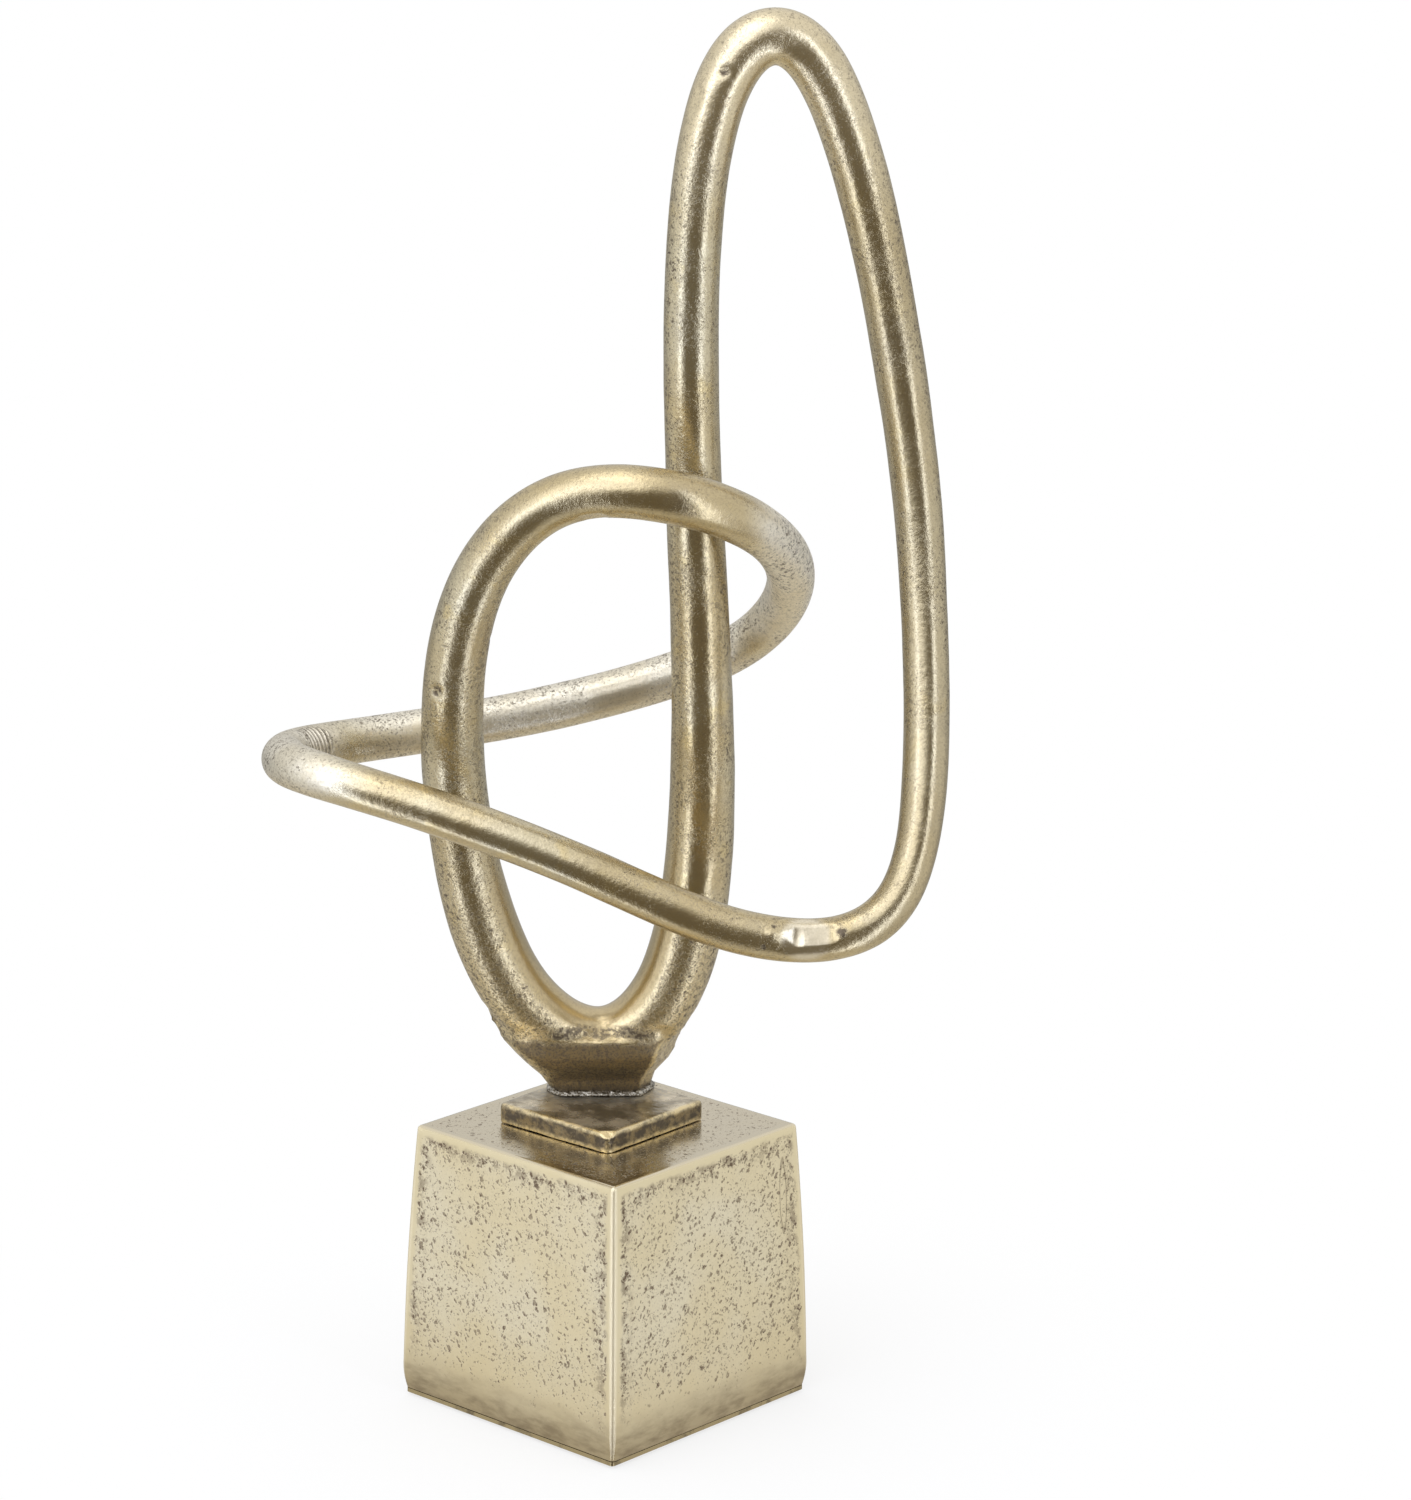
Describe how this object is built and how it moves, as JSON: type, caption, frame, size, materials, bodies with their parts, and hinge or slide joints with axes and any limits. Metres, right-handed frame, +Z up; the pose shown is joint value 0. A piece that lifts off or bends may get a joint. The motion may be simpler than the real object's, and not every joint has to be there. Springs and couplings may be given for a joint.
{
  "type": "knot sculpture on a block base",
  "caption": "Closed knot of round cast metal bars in an aged brass finish, welded to a square foot plate that is bolted on a drafted square block.",
  "frame": {"origin": "middle of the underside of the felt that the block stands on", "axes": "+Z up, along the object's height; X and Y along the sides of the square block; the picture looks at the corner between the block's -Y and +X faces"},
  "size_m": [0.2034, 0.1747, 0.4889],
  "materials": {
    "block_casting": "aged brass plating, satin with dark pits",
    "bar_casting": "aged brass plating, polished by hand",
    "plate_casting": "aged bronze brown with worn edges",
    "weld_metal": "aged brass plating over ground weld",
    "brassed_sheet": "aged brass plating, like the block over it",
    "plated_steel": "zinc plated",
    "black_felt": "felt"
  },
  "bodies": {
    "root": {"felt_underlay": "black_felt", "bottom_sheet": "brassed_sheet", "bottom_screws": "plated_steel", "base_shell": "block_casting", "flat_washer": "plated_steel", "spring_washer": "plated_steel", "mounting_bolt": "plated_steel", "foot_plate": "plate_casting", "neck_weld_bead": "weld_metal", "foot_fork": "bar_casting", "left_shoulder_bar": "bar_casting", "rear_bar": "bar_casting", "front_bar": "bar_casting", "tall_bar": "bar_casting", "side_weld": "weld_metal", "arch_weld": "weld_metal", "left_bend_weld": "weld_metal", "lower_right_weld": "weld_metal", "crown_weld": "weld_metal"}
  },
  "joints": []
}
